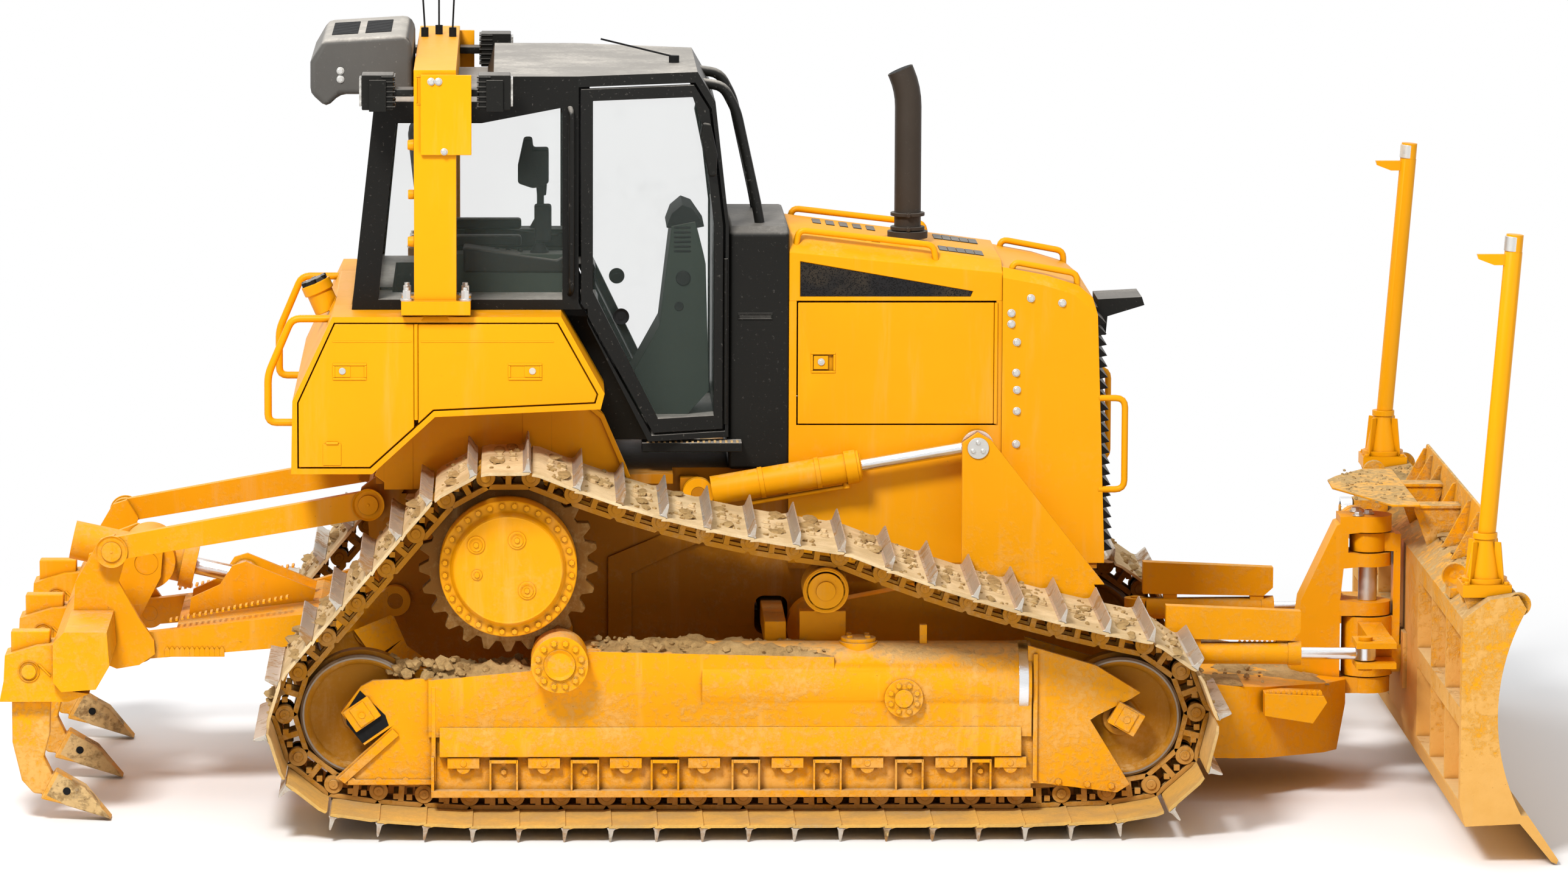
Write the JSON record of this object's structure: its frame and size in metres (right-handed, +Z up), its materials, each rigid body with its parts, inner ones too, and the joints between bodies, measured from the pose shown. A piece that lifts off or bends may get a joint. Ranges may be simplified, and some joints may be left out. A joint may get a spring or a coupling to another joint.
{
  "type": "bulldozer",
  "caption": "Crawler bulldozer with raised sprockets, wide track shoes, a six-way blade on a C-frame with sensor masts, a closed cab and a parallelogram ripper.",
  "frame": {"origin": "centre of the bounding box on the ground that the tracks stand on", "axes": "+X forward towards the blade, +Y to the machine's left, +Z up"},
  "size_m": [6.362, 4.08, 3.6002],
  "materials": {
    "yellow_paint": "worn golden-yellow paint with dust",
    "black_paint": "satin black paint",
    "grey_cover": "dark grey moulded covers",
    "track_steel": "bare and rusty track steel with dried mud",
    "wheel_steel": "bare cast steel with dried mud",
    "blade_paint": "worn yellow paint, bare steel where the soil runs",
    "bare_steel": "bare worn steel",
    "mast_steel": "galvanised tube",
    "chrome": "hard chrome",
    "stack_steel": "heat-browned steel",
    "glass": "clear glass",
    "seat_cloth": "dark woven cloth",
    "lamp_plastic": "black lamp housings"
  },
  "bodies": {
    "chassis": {"track_right": "track_steel", "track_frame_right": "yellow_paint", "engine_side_right": "yellow_paint", "track_left": "track_steel", "track_frame_left": "yellow_paint", "engine_side_left": "yellow_paint", "sprockets": "wheel_steel", "final_drives": "yellow_paint", "idlers": "wheel_steel", "track_rollers": "wheel_steel", "equalizer_bar": "wheel_steel", "main_frame": "yellow_paint", "engine_block": "wheel_steel", "hood": "yellow_paint", "nose_housing": "yellow_paint", "grille": "black_paint", "exhaust_stack": "stack_steel", "handrails": "black_paint", "cab_frame": "black_paint", "cab_glass": "glass", "cowl": "grey_cover", "operator_seat": "seat_cloth", "console": "grey_cover", "air_conditioner": "grey_cover", "cab_guard": "black_paint", "cab_steps": "black_paint", "fenders": "yellow_paint", "rear_tank": "yellow_paint", "rops_bar": "yellow_paint", "work_lights": "lamp_plastic", "antennas": "black_paint"},
    "c_frame": {"c_frame": "yellow_paint"},
    "yoke": {"blade_yoke": "yellow_paint"},
    "blade": {"blade": "blade_paint", "blade_masts": "mast_steel"},
    "lift_barrels": {"lift_barrels": "yellow_paint"},
    "lift_rods": {"lift_rods": "chrome"},
    "tilt_barrel": {"tilt_barrel": "yellow_paint"},
    "tilt_rod": {"tilt_rod": "chrome"},
    "ripper_beam": {"ripper_beam": "yellow_paint"},
    "upper_links": {"upper_links": "yellow_paint"},
    "toolbar": {"ripper_toolbar": "yellow_paint", "ripper_shanks": "bare_steel"},
    "ripper_barrel": {"ripper_barrel": "yellow_paint"},
    "ripper_rod": {"ripper_rod": "chrome"},
    "angle_barrel_left": {"angle_barrel_left": "yellow_paint"},
    "angle_rod_left": {"angle_rod_left": "chrome"},
    "cab_door_left": {"cab_door_left": "black_paint", "cab_door_glass_left": "glass"},
    "engine_door_left": {"engine_door_left": "yellow_paint"},
    "rear_fender_door_left": {"rear_fender_door_left": "yellow_paint"},
    "front_fender_door_left": {"front_fender_door_left": "yellow_paint"},
    "angle_barrel_right": {"angle_barrel_right": "yellow_paint"},
    "angle_rod_right": {"angle_rod_right": "chrome"},
    "cab_door_right": {"cab_door_right": "black_paint", "cab_door_glass_right": "glass"},
    "engine_door_right": {"engine_door_right": "yellow_paint"},
    "rear_fender_door_right": {"rear_fender_door_right": "yellow_paint"},
    "front_fender_door_right": {"front_fender_door_right": "yellow_paint"}
  },
  "joints": [
    {"name": "blade_lift", "type": "hinge", "parent": "chassis", "child": "c_frame", "pos_m": [0.227, 0, 0.75], "axis": [0, -1, 0], "range_deg": [-12, 24]},
    {"name": "lift_barrels_swing", "type": "hinge", "parent": "chassis", "child": "lift_barrels", "pos_m": [-0.275, 0, 1.31], "axis": [0, -1, 0], "range_deg": [-8.48, 16.86]},
    {"name": "lift_rods_slide", "type": "slide", "parent": "lift_barrels", "child": "lift_rods", "axis": [0.9855, 0, 0.1697], "range_m": [-0.2847, 0.1433]},
    {"name": "blade_angle", "type": "hinge", "parent": "c_frame", "child": "yoke", "pos_m": [2.617, 0, 0.52], "axis": [0, 0, 1], "range_deg": [-19, 19]},
    {"name": "angle_barrel_left_swing", "type": "hinge", "parent": "c_frame", "child": "angle_barrel_left", "pos_m": [1.667, 0.585, 0.634], "axis": [0, 0, 1], "range_deg": [-1.41, 1.41]},
    {"name": "angle_rod_left_slide", "type": "slide", "parent": "angle_barrel_left", "child": "angle_rod_left", "axis": [0.9992, 0.0399, 0], "range_m": [-0.2106, 0.2106]},
    {"name": "angle_barrel_right_swing", "type": "hinge", "parent": "c_frame", "child": "angle_barrel_right", "pos_m": [1.667, -0.585, 0.634], "axis": [0, 0, 1], "range_deg": [-1.41, 1.41]},
    {"name": "angle_rod_right_slide", "type": "slide", "parent": "angle_barrel_right", "child": "angle_rod_right", "axis": [0.9992, -0.0399, 0], "range_m": [-0.2106, 0.2106]},
    {"name": "blade_tilt", "type": "hinge", "parent": "yoke", "child": "blade", "pos_m": [2.617, 0, 0.52], "axis": [1, 0, 0], "range_deg": [-7, 7]},
    {"name": "tilt_barrel_swing", "type": "hinge", "parent": "yoke", "child": "tilt_barrel", "pos_m": [2.617, 0.13, 1.022], "axis": [1, 0, 0], "range_deg": [-8.42, 8.42]},
    {"name": "tilt_rod_slide", "type": "slide", "parent": "tilt_barrel", "child": "tilt_rod", "axis": [0, 1, 0], "range_m": [-0.0632, 0.0632]},
    {"name": "ripper_lift", "type": "hinge", "parent": "chassis", "child": "ripper_beam", "pos_m": [-1.551, 0, 0.84], "axis": [0, 1, 0], "range_deg": [-20, 22]},
    {"name": "upper_links_swing", "type": "hinge", "parent": "chassis", "child": "upper_links", "pos_m": [-1.661, 0, 1.266], "axis": [0, 1, 0], "range_deg": [-20.5, 22.5]},
    {"name": "toolbar_level", "type": "hinge", "parent": "ripper_beam", "child": "toolbar", "pos_m": [-2.628, 0, 0.642], "axis": [0, 1, 0], "range_deg": [-22.5, 20.5]},
    {"name": "ripper_barrel_swing", "type": "hinge", "parent": "toolbar", "child": "ripper_barrel", "pos_m": [-2.61, 0, 0.962], "axis": [0, 1, 0], "range_deg": [-17.85, 19.63]},
    {"name": "ripper_rod_slide", "type": "slide", "parent": "ripper_barrel", "child": "ripper_rod", "axis": [0.977, 0, -0.2131], "range_m": [-0.1132, 0.1243]},
    {"name": "cab_door_left_swing", "type": "hinge", "parent": "chassis", "child": "cab_door_left", "pos_m": [-0.161, 0.53, 1.95], "axis": [0, 0, -1], "range_deg": [0, 95]},
    {"name": "engine_door_left_swing", "type": "hinge", "parent": "chassis", "child": "engine_door_left", "pos_m": [0.9803, 0.47, 1.85], "axis": [0, 0, -1], "range_deg": [0, 110]},
    {"name": "rear_fender_door_left_swing", "type": "hinge", "parent": "chassis", "child": "rear_fender_door_left", "pos_m": [-1.453, 1.05, 1.85], "axis": [0, 0, -1], "range_deg": [0, 75]},
    {"name": "front_fender_door_left_swing", "type": "hinge", "parent": "chassis", "child": "front_fender_door_left", "pos_m": [-1.453, 1.05, 1.85], "axis": [0, 0, 1], "range_deg": [0, 75]},
    {"name": "cab_door_right_swing", "type": "hinge", "parent": "chassis", "child": "cab_door_right", "pos_m": [-0.161, -0.53, 1.95], "axis": [0, 0, 1], "range_deg": [0, 95]},
    {"name": "engine_door_right_swing", "type": "hinge", "parent": "chassis", "child": "engine_door_right", "pos_m": [0.9803, -0.47, 1.85], "axis": [0, 0, 1], "range_deg": [0, 110]},
    {"name": "rear_fender_door_right_swing", "type": "hinge", "parent": "chassis", "child": "rear_fender_door_right", "pos_m": [-1.453, -1.05, 1.85], "axis": [0, 0, 1], "range_deg": [0, 75]},
    {"name": "front_fender_door_right_swing", "type": "hinge", "parent": "chassis", "child": "front_fender_door_right", "pos_m": [-1.453, -1.05, 1.85], "axis": [0, 0, -1], "range_deg": [0, 75]}
  ],
  "couplings": [
    {"joint": "lift_barrels_swing", "follows": "blade_lift", "ratio": 0.68452},
    {"joint": "lift_rods_slide", "follows": "blade_lift", "m_per_rad": -0.66156},
    {"joint": "angle_barrel_left_swing", "follows": "blade_angle", "ratio": -0.06744},
    {"joint": "angle_rod_left_slide", "follows": "blade_angle", "m_per_rad": -0.61685},
    {"joint": "angle_barrel_right_swing", "follows": "blade_angle", "ratio": -0.06744},
    {"joint": "angle_rod_right_slide", "follows": "blade_angle", "m_per_rad": 0.61685},
    {"joint": "tilt_barrel_swing", "follows": "blade_tilt", "ratio": 1.1652},
    {"joint": "tilt_rod_slide", "follows": "blade_tilt", "m_per_rad": -0.49073},
    {"joint": "upper_links_swing", "follows": "ripper_lift", "ratio": 1},
    {"joint": "toolbar_level", "follows": "ripper_lift", "ratio": -1},
    {"joint": "ripper_barrel_swing", "follows": "ripper_lift", "ratio": 0.87013},
    {"joint": "ripper_rod_slide", "follows": "ripper_lift", "m_per_rad": 0.31227}
  ]
}
